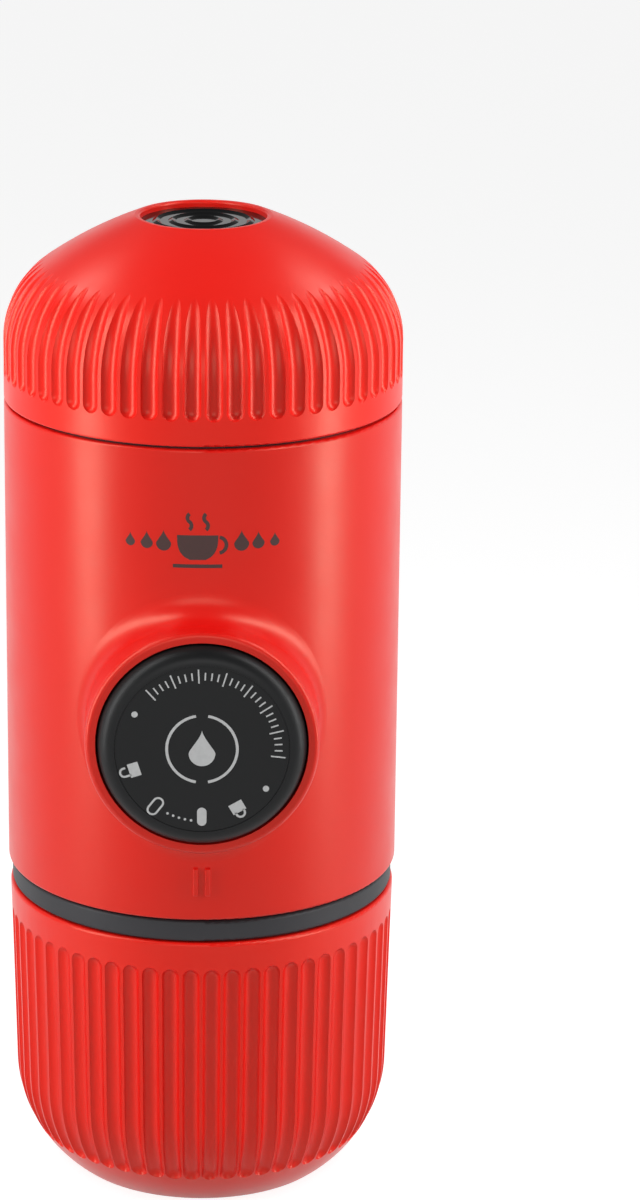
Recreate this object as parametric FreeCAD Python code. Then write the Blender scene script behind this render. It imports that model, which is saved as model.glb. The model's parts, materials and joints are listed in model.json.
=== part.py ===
import FreeCAD, Part
import math
import os

# A handheld manual espresso maker standing on its cup, in millimetres.
# Z is up, the origin is the centre of the cup's base, and the pump knob faces -Y.
# From the floor up: fluted cup with the outlet head inside it, main body with the
# pump across it, and the fluted water tank screwed on top.

# Clearances
RUNNING_CLEARANCE = 0.05
MOVING_CLEARANCE = 0.3
SEAT_CLEARANCE = 0.1
FIT_CLEARANCE = 0.05
SEAM_GAP = 0.2
SHADOW_GAP = 0.4

# Main body shell
BODY_RADIUS = 31.0
BODY_HEIGHT = 75.28
BODY_WALL = 2.0
BODY_EDGE_ROUND = 0.4
TOP_REBATE_WIDTH = 1.0
TOP_REBATE_DEPTH = 1.8
LEDGE_WIDTH = 1.3
LEDGE_HEIGHT = 2.4

# Collar round the knob and the two index bars under it
KNOB_HEIGHT = 31.25
COLLAR_PROUD = 7.0
COLLAR_WALL = 1.6
COLLAR_FLARE = 4.0
COLLAR_LIP_ROUND = 0.75
BAR_WIDTH = 0.8
BAR_SPACING = 1.85
BAR_LENGTH = 4.5
BAR_ABOVE_EDGE = 4.15
BAR_PROUD = 0.45

# Knob
KNOB_RADIUS = 15.8
KNOB_PROUD = 9.0
KNOB_RIM_ROUND = 2.6
KNOB_PLATE = 3.5
KNOB_SKIRT_WALL = 2.5
FACE_DISC_THICKNESS = 0.9
FACE_RECESS = 0.1
HUB_RADIUS = 6.0
HUB_LENGTH = 1.9
LUG_LENGTH = 2.5
LUG_ANGLE = 18.0
LUG_PLACES = (0.0, 180.0)
UNLOCK_TURN = 40.0
ENTRY_BEYOND_UNLOCK = 22.0

# Pump
STROKE = 12.0
SLEEVE_WALL = 1.9
SLEEVE_RING = 1.4
WELL_GAP = 3.5
BASE_PLATE = 2.0
PUMP_BORE_RADIUS = 9.0
PUMP_WALL = 2.0
PUMP_FLANGE_RADIUS = 16.5
PUMP_FLANGE_FLAT = 15.0
PUMP_FLANGE = 3.0
PISTON_LENGTH = 7.0
PISTON_STOP_GAP = 0.5
PISTON_SEAL_WIDTH = 2.4
PISTON_SEAL_DEPTH = 1.6
CHAMBER_DEPTH = 5.5
PUMP_END_WALL = 3.0
ROD_RADIUS = 3.0
ROD_NOSE_RADIUS = 2.0
BUSHING_WALL = 1.4
BUSHING_FLANGE = 1.0
WASHER_THICKNESS = 1.1
WASHER_RADIUS = 9.8
SPRING_MEAN_RADIUS = 8.4
SPRING_WIRE_RADIUS = 0.6
SPRING_TURNS = 6
PORT_RADIUS = 2.0
PAD_HALF_WIDTH = 7.0
PAD_RISE = 1.5
VALVE_RADIUS = 4.5
VALVE_THICKNESS = 0.9
VALVE_POCKET_DEPTH = 1.4
POST_HALF_WIDTH = 5.0
DUCT_WALL = 3.6
DUCT_BORE_RADIUS = 2.5

# Screws
SCREW_SHANK_RADIUS = 1.0
SCREW_HEAD_RADIUS = 1.8
SCREW_HEAD_HEIGHT = 1.4
TIE_SHANK_RADIUS = 1.2
TIE_HEAD_RADIUS = 2.1
TIE_HEAD_HEIGHT = 1.5
TIE_ANGLE = 30.0
TIE_BOSS_WALL = 1.1
TIE_BOSS_LENGTH = 12.0
TIE_BITE = 6.0
SLEEVE_SCREW_ANGLE = 45.0
CENTRE_SCREW_RADIUS = 1.5
CENTRE_HEAD_RADIUS = 3.0
SCREW_BITE = 7.0
HEAD_ROUND_SHARE = 0.4
SOCKET_DEPTH_SHARE = 0.55
SOCKET_RADIUS_SHARE = 0.9

# Two-start threads that hold the tank and the outlet head
THREAD_LEAD = 6.0
THREAD_STARTS = 2
THREAD_DEPTH = 1.2
THREAD_ROOT_WIDTH = 1.5
THREAD_CREST_WIDTH = 0.9
THREAD_ROOT_OVERLAP = 0.3

# Neck that stands in the tank
NECK_FLOOR = 3.0
NECK_HEIGHT = 9.2
NECK_WALL = 2.7
NECK_INSET = 4.8
TANK_SEAL_THICKNESS = 1.5
TANK_SEAL_WIDTH = 2.8
STRAINER_RADIUS = 5.0
STRAINER_THICKNESS = 0.6
STRAINER_HOLE_RADIUS = 0.5
STRAINER_HOLE_PITCH = 1.7
AIR_VALVE_RADIUS = 2.4
AIR_VALVE_HEIGHT = 4.0
AIR_VALVE_WALL = 0.7
AIR_VALVE_DISTANCE = 13.0

# Tank dome
TANK_STRAIGHT_HEIGHT = 9.08
TANK_WALL = 2.6
SHOULDER_RADIUS = 14.45
SHOULDER_SWEEP = 55.0
DOME_RADIUS = 68.07
LAND_OUTER_RADIUS = 10.6
LAND_INNER_RADIUS = 9.75
INSERT_RECESS = 2.1
INSERT_THICKNESS = 1.1
INSERT_RIPPLES = 3
RIPPLE_HEIGHT = 0.3
TANK_EDGE_ROUND = 0.4

# Flutes of the tank and the cup
FLUTE_COUNT = 60
FLUTE_RADIUS = 1.5
FLUTE_DEPTH = 0.85
TANK_FLUTE_START = 3.9
TANK_FLUTE_FADE_RADIUS = 17.2
TANK_FLUTE_SWEEP = 53.0
CUP_FLUTE_BELOW_RIM = 4.45
CUP_FLUTE_SWEEP = 28.5

# Cup
CUP_HEIGHT = 47.63
CUP_INSET = 0.28
CUP_TAPER = 1.324
CUP_CURVE_RADIUS = 21.28
CUP_BASE_RADIUS = 21.42
CUP_WALL = 2.2
CUP_RIM_ROUND = 0.5

# Spigot under the main body, with its gasket and shower screen
SPIGOT_PLATE = 3.0
SPIGOT_DEPTH = 7.35
SPIGOT_INSET = 7.8
SPIGOT_WALL = 2.7
SPIGOT_FLOOR = 2.0
SCREW_PILLAR_RADIUS = 3.0
FEED_HOLE_COUNT = 6
FEED_CIRCLE_RADIUS = 10.25
GASKET_THICKNESS = 2.1
GASKET_WIDTH = 3.6
SCREEN_THICKNESS = 1.0
SCREEN_HOLE_RADIUS = 0.55
SCREEN_HOLE_PITCH = 3.0
SCREEN_HOLE_RINGS = 5
SCREEN_HOLES_PER_RING = 6

# Outlet head and its filter basket
HEAD_FLANGE_HEIGHT = 3.42
HEAD_FLANGE_INSET = 0.6
HEAD_WALL = 2.0
HEAD_FLOOR = 2.5
HEAD_EDGE_ROUND = 0.5
HEAD_SEAL_WIDTH = 2.4
HEAD_SEAL_THICKNESS = 1.2
SPOUT_RADIUS = 5.2
SPOUT_BLOCK_RADIUS = 9.0
SPOUT_LENGTH = 7.0
SPOUT_BORE_RADIUS = 2.2
GRIP_RING_RADIUS = 1.0
GRIP_RING_BELOW_RIM = 3.2
GRIP_RING_CLEARANCE = 0.2
PRESSURE_VALVE_RADIUS = 5.3
PRESSURE_VALVE_THICKNESS = 2.0
RETAINER_THICKNESS = 0.8
BASKET_RADIUS = 18.5
BASKET_DEPTH = 19.0
BASKET_WALL = 0.8
BASKET_RIM_WIDTH = 3.7
BASKET_RIM = 1.0
BASKET_LEDGE = 2.2
BASKET_SCREEN_THICKNESS = 0.5
BASKET_HOLE_RADIUS = 0.4
BASKET_HOLE_PITCH = 2.6
BASKET_FLOOR_GAP = 0.7

# Heights of the stack, from the floor up
CUP_RIM_Z = CUP_HEIGHT
FLANGE_BOTTOM_Z = CUP_RIM_Z + SEAM_GAP
FLANGE_TOP_Z = FLANGE_BOTTOM_Z + HEAD_FLANGE_HEIGHT
BODY_BOTTOM_Z = FLANGE_TOP_Z + SHADOW_GAP
BODY_TOP_Z = BODY_BOTTOM_Z + BODY_HEIGHT
NECK_FLANGE_Z = BODY_TOP_Z + SEAM_GAP
TANK_BOTTOM_Z = NECK_FLANGE_Z + SEAM_GAP
SHOULDER_Z = TANK_BOTTOM_Z + TANK_STRAIGHT_HEIGHT
KNOB_Z = BODY_BOTTOM_Z + KNOB_HEIGHT

# Radii inside the main body
BODY_INNER_RADIUS = BODY_RADIUS - BODY_WALL
PLATE_RADIUS = BODY_INNER_RADIUS - FIT_CLEARANCE
LEDGE_RADIUS = BODY_INNER_RADIUS - LEDGE_WIDTH
TIE_CIRCLE_RADIUS = LEDGE_RADIUS - TIE_SHANK_RADIUS
NECK_PLATE_Z = NECK_FLANGE_Z - NECK_FLOOR
REBATE_RADIUS = BODY_INNER_RADIUS + TOP_REBATE_WIDTH
REBATE_Z = BODY_TOP_Z - TOP_REBATE_DEPTH

# Distances along the knob's axis, forwards from the middle of the body
KNOB_FACE = BODY_RADIUS + KNOB_PROUD
KNOB_UNDER = KNOB_FACE - KNOB_PLATE
HUB_END = KNOB_UNDER - HUB_LENGTH
SLEEVE_FRONT = KNOB_UNDER - MOVING_CLEARANCE
LUG_FRONT = SLEEVE_FRONT - SLEEVE_RING - MOVING_CLEARANCE - STROKE
SKIRT_END = LUG_FRONT - LUG_LENGTH
SLEEVE_BASE = SKIRT_END - WELL_GAP
PUMP_FRONT = SLEEVE_BASE - BASE_PLATE
PISTON_FRONT = PUMP_FRONT - PISTON_STOP_GAP - STROKE
PISTON_BACK = PISTON_FRONT - PISTON_LENGTH
CHAMBER_END = PISTON_BACK - CHAMBER_DEPTH
PUMP_BACK = CHAMBER_END - PUMP_END_WALL
PORT_AT = (PISTON_BACK + CHAMBER_END) / 2
ROD_SHOULDER = HUB_END - SEAT_CLEARANCE
WASHER_BACK = ROD_SHOULDER - WASHER_THICKNESS
ENTRY_TURN = UNLOCK_TURN + ENTRY_BEYOND_UNLOCK
FACE_DISC_FRONT = KNOB_FACE - FACE_RECESS
FACE_DISC_BACK = FACE_DISC_FRONT - FACE_DISC_THICKNESS
ROD_NOSE = FACE_DISC_BACK - SCREW_HEAD_HEIGHT - 2 * SEAT_CLEARANCE
COLLAR_FACE = BODY_RADIUS + COLLAR_PROUD
COLLAR_BORE_RADIUS = KNOB_RADIUS + MOVING_CLEARANCE
COLLAR_RADIUS = COLLAR_BORE_RADIUS + COLLAR_WALL
SKIRT_INNER_RADIUS = KNOB_RADIUS - KNOB_SKIRT_WALL
SLEEVE_RADIUS = SKIRT_INNER_RADIUS - MOVING_CLEARANCE
SLEEVE_INNER_RADIUS = SLEEVE_RADIUS - SLEEVE_WALL
PUMP_RADIUS = PUMP_BORE_RADIUS + PUMP_WALL
PAD_HEIGHT = PUMP_RADIUS + PAD_RISE
SLEEVE_SCREW_CIRCLE = (SLEEVE_RADIUS + PUMP_FLANGE_RADIUS) / 2
DUCT_RADIUS = DUCT_BORE_RADIUS + DUCT_WALL

# Threads and the pieces that they draw together
NECK_RADIUS = BODY_RADIUS - NECK_INSET
NECK_TOP_Z = NECK_FLANGE_Z + NECK_HEIGHT
TANK_BORE_RADIUS = NECK_RADIUS + THREAD_DEPTH + MOVING_CLEARANCE
TANK_LEDGE_Z = NECK_TOP_Z + TANK_SEAL_THICKNESS + 2 * SEAT_CLEARANCE
TANK_LEDGE_RADIUS = TANK_BORE_RADIUS - 2 * SEAM_GAP - TANK_SEAL_WIDTH / 2
SPIGOT_RADIUS = BODY_RADIUS - SPIGOT_INSET
SPIGOT_BOTTOM_Z = BODY_BOTTOM_Z - SPIGOT_DEPTH
HEAD_BORE_RADIUS = SPIGOT_RADIUS + THREAD_DEPTH + MOVING_CLEARANCE
GASKET_RADIUS = SPIGOT_RADIUS - SEAM_GAP
GASKET_BOTTOM_Z = SPIGOT_BOTTOM_Z - GASKET_THICKNESS
SCREEN_RADIUS = GASKET_RADIUS - GASKET_WIDTH - MOVING_CLEARANCE
BASKET_TOP_Z = GASKET_BOTTOM_Z - SEAM_GAP
BASKET_LEDGE_Z = BASKET_TOP_Z - BASKET_RIM
BASKET_OUTER_RADIUS = BASKET_RADIUS + BASKET_WALL
BASKET_RIM_RADIUS = BASKET_OUTER_RADIUS + BASKET_RIM_WIDTH
BASKET_BOTTOM_Z = BASKET_TOP_Z - BASKET_DEPTH - BASKET_WALL
HEAD_WELL_RADIUS = BASKET_OUTER_RADIUS + 2 * MOVING_CLEARANCE
HEAD_WELL_Z = BASKET_BOTTOM_Z - BASKET_FLOOR_GAP
HEAD_BOTTOM_Z = HEAD_WELL_Z - HEAD_FLOOR
SPOUT_Z = HEAD_BOTTOM_Z - SPOUT_LENGTH
BARREL_RADIUS = HEAD_BORE_RADIUS + HEAD_WALL
LOWER_BARREL_RADIUS = HEAD_WELL_RADIUS + HEAD_WALL
HEAD_FLANGE_RADIUS = BODY_RADIUS - HEAD_FLANGE_INSET
CUP_RIM_RADIUS = BODY_RADIUS - CUP_INSET

Z_AXIS = FreeCAD.Vector(0, 0, 1)
CENTRE = FreeCAD.Vector(0, 0, 0)


def at(radius, height):
    """Point of a section, in the XZ plane."""
    return FreeCAD.Vector(radius, 0, height)


def turned(points):
    """Solid of revolution about Z from the corners of its section."""
    corners = [at(r, z) for r, z in points]
    section = Part.Face(Part.makePolygon(corners + corners[:1]))
    return section.revolve(CENTRE, Z_AXIS, 360)


def turned_edges(edges):
    """Solid of revolution about Z from the lines and arcs of its section."""
    section = Part.Face(Part.Wire(Part.__sortEdges__(edges)))
    return section.revolve(CENTRE, Z_AXIS, 360)


def ring(inner, outer, bottom, top):
    """Plain ring about Z."""
    return turned([(inner, bottom), (outer, bottom), (outer, top), (inner, top)])


def disc(radius, bottom, top, x=0.0, y=0.0):
    """Plain upright cylinder between two heights."""
    return Part.makeCylinder(radius, top - bottom, FreeCAD.Vector(x, y, bottom))


def block(x_half, y_low, y_high, z_low, z_high):
    """Box that is centred in X."""
    corner = FreeCAD.Vector(-x_half, y_low, z_low)
    return Part.makeBox(2 * x_half, y_high - y_low, z_high - z_low, corner)


def facing_front(shape):
    """Turn a shape made about Z, so that its +Z points to -Y on the knob's axis."""
    shape = shape.copy()
    shape.rotate(CENTRE, FreeCAD.Vector(1, 0, 0), 90)
    shape.translate(FreeCAD.Vector(0, 0, KNOB_Z))
    return shape


def round_edges(shape, radius, wanted):
    """Fillet the edges that a test picks out."""
    picked = [edge for edge in shape.Edges if wanted(edge)]
    return shape.makeFillet(radius, picked)


def is_circle(edge, radius, height):
    """Tell whether an edge is a circle about Z, of this radius and at this height."""
    if not isinstance(edge.Curve, Part.Circle):
        return False
    centre = edge.Curve.Center
    near = abs(edge.Curve.Radius - radius) < 1e-3 and abs(centre.z - height) < 1e-3
    return near and math.hypot(centre.x, centre.y) < 1e-3


def circle_test(*circles):
    """Test for round_edges that accepts any of these (radius, height) circles."""
    return lambda edge: any(is_circle(edge, r, z) for r, z in circles)


def polar(radius, angle, height=0.0):
    """Point at an angle in degrees from +X towards +Y."""
    turn = math.radians(angle)
    return FreeCAD.Vector(radius * math.cos(turn), radius * math.sin(turn), height)


def sector(inner, outer, bottom, top, start, sweep):
    """Part of a ring about Z, from a start angle through a sweep in degrees."""
    corners = [at(inner, bottom), at(outer, bottom), at(outer, top), at(inner, top)]
    section = Part.Face(Part.makePolygon(corners + corners[:1]))
    piece = section.revolve(CENTRE, Z_AXIS, sweep)
    piece.rotate(CENTRE, Z_AXIS, start)
    return piece


def countersunk_screw(head_radius, head_height, shank_radius, length):
    """Screw with its flat head face at z = 0 and its shank up along Z."""
    return turned([
        (0, 0), (head_radius, 0), (shank_radius, head_height),
        (shank_radius, length), (0, length),
    ])


def pan_screw(head_radius, head_height, shank_radius, length):
    """Screw with its head below z = 0 and its shank up along Z."""
    head = disc(head_radius, -head_height, 0)
    head = round_edges(
        head, HEAD_ROUND_SHARE * head_height, circle_test((head_radius, -head_height)))
    socket_floor = (SOCKET_DEPTH_SHARE - 1) * head_height
    socket = disc(SOCKET_RADIUS_SHARE * shank_radius, -head_height, socket_floor)
    return head.cut(socket).fuse(disc(shank_radius, 0, length)).removeSplitter()


def hex_holes(radius, pitch, limit, bottom, top):
    """Hole cutters on a triangular grid, out to a limit from the axis."""
    holes = []
    rows = int(limit / pitch) + 2
    for row in range(-rows, rows + 1):
        for column in range(-2 * rows, 2 * rows + 1):
            x = (column + row / 2) * pitch
            y = row * pitch * math.sqrt(3) / 2
            if math.hypot(x, y) <= limit:
                holes.append(disc(radius, bottom, top, x, y))
    return holes


def thread_ridges(root_radius, outward, low, high, phase):
    """Ridges of a thread between two heights. Outward is 1 for male and -1 for female."""
    half_root = THREAD_ROOT_WIDTH / 2
    half_crest = THREAD_CREST_WIDTH / 2
    first = low + half_root
    rise = high - half_root - first
    flank = (half_root - half_crest) / THREAD_DEPTH
    half_buried = half_root + flank * THREAD_ROOT_OVERLAP
    buried = root_radius - outward * THREAD_ROOT_OVERLAP
    crest = root_radius + outward * THREAD_DEPTH
    corners = [
        at(buried, first - half_buried), at(crest, first - half_crest),
        at(crest, first + half_crest), at(buried, first + half_buried),
    ]
    section = Part.makePolygon(corners + corners[:1])
    helix = Part.makeHelix(THREAD_LEAD, rise, root_radius)
    helix.translate(at(0, first))
    ridge = Part.Wire(helix.Edges).makePipeShell([section], True, True)
    ridges = []
    for start in range(THREAD_STARTS):
        copy = ridge.copy()
        copy.rotate(CENTRE, Z_AXIS, 360 * (start + phase) / THREAD_STARTS)
        ridges.append(copy)
    return ridges


def flute_cutter(path):
    """Round-ended groove tool along a path that lies in the XZ plane."""
    first = path[0]
    start = first.valueAt(first.FirstParameter)
    direction = first.tangentAt(first.FirstParameter)
    last = path[-1]
    end = last.valueAt(last.LastParameter)
    circle = Part.Wire(Part.makeCircle(FLUTE_RADIUS, start, direction))
    groove = Part.Wire(path).makePipeShell([circle], True, False)
    for tip in (start, end):
        groove = groove.fuse(Part.makeSphere(FLUTE_RADIUS, tip))
    return groove


def cut_flutes(shape, path):
    """Cut the same groove all round a shape."""
    groove = flute_cutter(path)
    tools = []
    for index in range(FLUTE_COUNT):
        copy = groove.copy()
        copy.rotate(CENTRE, Z_AXIS, 360 * (index + 0.5) / FLUTE_COUNT)
        tools.append(copy)
    return shape.cut(tools)


def arc_about(centre, radius, start, end):
    """Arc edge in the XZ plane, between two angles in degrees up from +X."""
    def point(angle):
        turn = math.radians(angle)
        return at(centre[0] + radius * math.cos(turn), centre[1] + radius * math.sin(turn))
    return Part.Arc(point(start), point((start + end) / 2), point(end)).toShape()


def line(start, end):
    """Straight edge between two section points."""
    return Part.makeLine(at(*start), at(*end))


def cup_curve_centre():
    """Centre of the curve between the cup's tapered side and its flat base."""
    lean = math.radians(CUP_TAPER)
    tangent = math.tan(lean)
    reach = CUP_RIM_RADIUS - tangent * (CUP_HEIGHT + CUP_CURVE_RADIUS * math.sin(lean))
    reach -= CUP_CURVE_RADIUS * math.cos(lean)
    span = CUP_BASE_RADIUS - reach
    a = 1 + tangent ** 2
    b = -2 * span * tangent
    c = span ** 2 - CUP_CURVE_RADIUS ** 2
    height = (-b + math.sqrt(b * b - 4 * a * c)) / (2 * a)
    return reach + height * tangent, height


def cup_side_radius(height, inset=0.0):
    """Radius of the cup's tapered side, or of a surface inside it, at a height."""
    lean = math.radians(CUP_TAPER)
    return CUP_RIM_RADIUS - math.tan(lean) * (CUP_HEIGHT - height) - inset / math.cos(lean)


def cup_section(inset, floor):
    """Half outline of the cup, moved in by an inset and cut off at a floor height."""
    centre = cup_curve_centre()
    radius = CUP_CURVE_RADIUS - inset
    low = -math.degrees(math.asin((centre[1] - floor) / radius))
    curve = arc_about(centre, radius, -CUP_TAPER, low)
    side_end = curve.valueAt(curve.FirstParameter)
    base_end = curve.valueAt(curve.LastParameter)
    rim = (cup_side_radius(CUP_HEIGHT, inset), CUP_HEIGHT)
    return [
        line((0, floor), (base_end.x, floor)),
        curve,
        line((side_end.x, side_end.z), rim),
        line(rim, (0, CUP_HEIGHT)),
        line((0, CUP_HEIGHT), (0, floor)),
    ]


def make_cup():
    """Fluted cup that the whole maker stands on."""
    outer = turned_edges(cup_section(0, 0))
    inner = turned_edges(cup_section(CUP_WALL, CUP_WALL))
    inner_rim = cup_side_radius(CUP_HEIGHT, CUP_WALL)
    cup = outer.cut(inner)
    cup = round_edges(
        cup, CUP_RIM_ROUND, circle_test((CUP_RIM_RADIUS, CUP_HEIGHT), (inner_rim, CUP_HEIGHT)))
    centre = cup_curve_centre()
    stand_off = FLUTE_RADIUS - FLUTE_DEPTH
    top = CUP_HEIGHT - CUP_FLUTE_BELOW_RIM - math.sqrt(FLUTE_RADIUS ** 2 - stand_off ** 2)
    curve = arc_about(centre, CUP_CURVE_RADIUS + stand_off, -CUP_TAPER, -CUP_FLUTE_SWEEP)
    bend = curve.valueAt(curve.FirstParameter)
    side = line((cup_side_radius(top, -stand_off), top), (bend.x, bend.z))
    return cut_flutes(cup, [side, curve])


def dome_section(inset, bottom, inner_radius):
    """Half outline of the tank's outer form, or of a surface inside it."""
    shoulder_centre = (BODY_RADIUS - SHOULDER_RADIUS, SHOULDER_Z)
    shoulder = arc_about(shoulder_centre, SHOULDER_RADIUS - inset, 0, SHOULDER_SWEEP)
    turn = math.radians(SHOULDER_SWEEP)
    step = SHOULDER_RADIUS - DOME_RADIUS
    dome_centre = (
        shoulder_centre[0] + step * math.cos(turn), shoulder_centre[1] + step * math.sin(turn))
    radius = DOME_RADIUS - inset
    end = math.degrees(math.acos((inner_radius - dome_centre[0]) / radius))
    dome = arc_about(dome_centre, radius, SHOULDER_SWEEP, end)
    top = dome.valueAt(dome.LastParameter)
    side = BODY_RADIUS - inset
    return [
        line((0, bottom), (side, bottom)),
        line((side, bottom), (side, SHOULDER_Z)),
        shoulder,
        dome,
        line((top.x, top.z), (0, top.z)),
        line((0, top.z), (0, bottom)),
    ], top.z


TANK_TOP_Z = dome_section(0, TANK_BOTTOM_Z, LAND_OUTER_RADIUS)[1]
INSERT_FLOOR_Z = TANK_TOP_Z - INSERT_RECESS


def make_tank_shell():
    """Fluted tank with its female thread, its seal ledge and the recess in its top."""
    outer = turned_edges(dome_section(0, TANK_BOTTOM_Z, LAND_OUTER_RADIUS)[0])
    hollow, _ = dome_section(TANK_WALL, TANK_BOTTOM_Z, LAND_OUTER_RADIUS)
    roof_z = INSERT_FLOOR_Z - TANK_WALL
    cavity = turned_edges(hollow).common(disc(TANK_LEDGE_RADIUS, TANK_BOTTOM_Z, roof_z))
    bore = disc(TANK_BORE_RADIUS, TANK_BOTTOM_Z, TANK_LEDGE_Z)
    recess = disc(LAND_INNER_RADIUS, INSERT_FLOOR_Z, TANK_TOP_Z)
    tank = outer.cut([cavity, bore, recess])
    tank = round_edges(
        tank, TANK_EDGE_ROUND,
        circle_test((BODY_RADIUS, TANK_BOTTOM_Z), (LAND_INNER_RADIUS, TANK_TOP_Z)))
    low = NECK_FLANGE_Z + THREAD_CREST_WIDTH
    high = NECK_TOP_Z - THREAD_CREST_WIDTH
    ridges = thread_ridges(TANK_BORE_RADIUS, -1, low, high, 0.5)
    tank = tank.fuse(ridges)
    stand_off = FLUTE_RADIUS - FLUTE_DEPTH
    start = TANK_BOTTOM_Z + TANK_FLUTE_START + math.sqrt(FLUTE_RADIUS ** 2 - stand_off ** 2)
    reach = BODY_RADIUS + stand_off
    curve = arc_about(
        (reach - TANK_FLUTE_FADE_RADIUS, SHOULDER_Z), TANK_FLUTE_FADE_RADIUS, 0, TANK_FLUTE_SWEEP)
    return cut_flutes(tank, [line((reach, start), (reach, SHOULDER_Z)), curve])


def make_tank_base_insert():
    """Round insert in the tank's top, with low concentric ripples."""
    radius = LAND_INNER_RADIUS - FIT_CLEARANCE
    top = INSERT_FLOOR_Z + INSERT_THICKNESS
    insert = disc(radius, INSERT_FLOOR_Z, top)
    step = radius / (INSERT_RIPPLES + 1)
    for index in range(INSERT_RIPPLES):
        middle = step * (index + 1)
        half = step / 4
        ripple = turned([
            (middle - half, top - RIPPLE_HEIGHT), (middle + half, top - RIPPLE_HEIGHT),
            (middle + half, top), (middle, top + RIPPLE_HEIGHT), (middle - half, top),
        ])
        insert = insert.fuse(ripple)
    return insert.removeSplitter()


def make_tank_seal_ring():
    """Loose seal between the neck's top and the tank's ledge."""
    outer = TANK_BORE_RADIUS - 2 * SEAM_GAP
    low = NECK_TOP_Z + SEAT_CLEARANCE
    return ring(outer - TANK_SEAL_WIDTH, outer, low, low + TANK_SEAL_THICKNESS)


def make_body_shell():
    """Round body shell with the flared collar for the knob and two index bars."""
    shell = disc(BODY_RADIUS, BODY_BOTTOM_Z, BODY_TOP_Z)
    collar = facing_front(disc(COLLAR_RADIUS, 0, COLLAR_FACE))
    shell = shell.fuse(collar)
    shell = round_edges(shell, COLLAR_FLARE, is_collar_root)
    shell = round_edges(shell, COLLAR_LIP_ROUND, is_collar_lip)
    shell = round_edges(
        shell, BODY_EDGE_ROUND,
        circle_test((BODY_RADIUS, BODY_BOTTOM_Z), (BODY_RADIUS, BODY_TOP_Z)))
    inside = turned([
        (0, BODY_BOTTOM_Z), (BODY_INNER_RADIUS, BODY_BOTTOM_Z),
        (BODY_INNER_RADIUS, BODY_BOTTOM_Z + SPIGOT_PLATE),
        (LEDGE_RADIUS, BODY_BOTTOM_Z + SPIGOT_PLATE),
        (LEDGE_RADIUS, BODY_BOTTOM_Z + SPIGOT_PLATE + LEDGE_HEIGHT),
        (BODY_INNER_RADIUS, BODY_BOTTOM_Z + SPIGOT_PLATE + LEDGE_HEIGHT + LEDGE_WIDTH),
        (BODY_INNER_RADIUS, REBATE_Z), (REBATE_RADIUS, REBATE_Z),
        (REBATE_RADIUS, BODY_TOP_Z), (0, BODY_TOP_Z),
    ])
    knob_hole = facing_front(disc(COLLAR_BORE_RADIUS, 0, COLLAR_FACE))
    shell = shell.cut([inside, knob_hole])
    for side in (-1, 1):
        shell = shell.fuse(index_bar(side * BAR_SPACING / 2))
    return shell.removeSplitter()


def is_collar_root(edge):
    """Tell whether an edge is the curve where the collar meets the round shell."""
    plain = isinstance(edge.Curve, (Part.Circle, Part.Line))
    return not plain and edge.BoundBox.YMax < 0


def is_collar_lip(edge):
    """Tell whether an edge is the collar's outer front circle."""
    at_front = abs(edge.BoundBox.YMax + COLLAR_FACE) < 1e-3
    return isinstance(edge.Curve, Part.Circle) and at_front


def index_bar(x):
    """One raised vertical bar that the knob's marks line up with."""
    low = BODY_BOTTOM_Z + BAR_ABOVE_EDGE
    bar = Part.makeBox(
        BAR_WIDTH, BAR_PROUD + BODY_WALL / 2, BAR_LENGTH,
        FreeCAD.Vector(x - BAR_WIDTH / 2, -BODY_RADIUS - BAR_PROUD, low))
    front = -BODY_RADIUS - BAR_PROUD
    return round_edges(bar, BAR_PROUD / 2, lambda edge: abs(edge.BoundBox.YMax - front) < 1e-3)


def tie_places(height):
    """Centres of the four long screws that clamp the main body together."""
    angles = (TIE_ANGLE, 180 - TIE_ANGLE, 180 + TIE_ANGLE, 360 - TIE_ANGLE)
    return [polar(TIE_CIRCLE_RADIUS, angle, height) for angle in angles]


def make_tie_screws():
    """Four long countersunk screws from the spigot plate up to the neck's bosses."""
    length = NECK_PLATE_Z - TIE_BOSS_LENGTH + TIE_BITE - BODY_BOTTOM_Z
    screws = []
    for place in tie_places(BODY_BOTTOM_Z):
        screw = countersunk_screw(TIE_HEAD_RADIUS, TIE_HEAD_HEIGHT, TIE_SHANK_RADIUS, length)
        screw.translate(place)
        screws.append(screw)
    return Part.makeCompound(screws)


def post(y_front, y_back, z_low, z_high):
    """Flat post that holds the pump's flange."""
    return block(POST_HALF_WIDTH, y_front, y_back, z_low, z_high)


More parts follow.
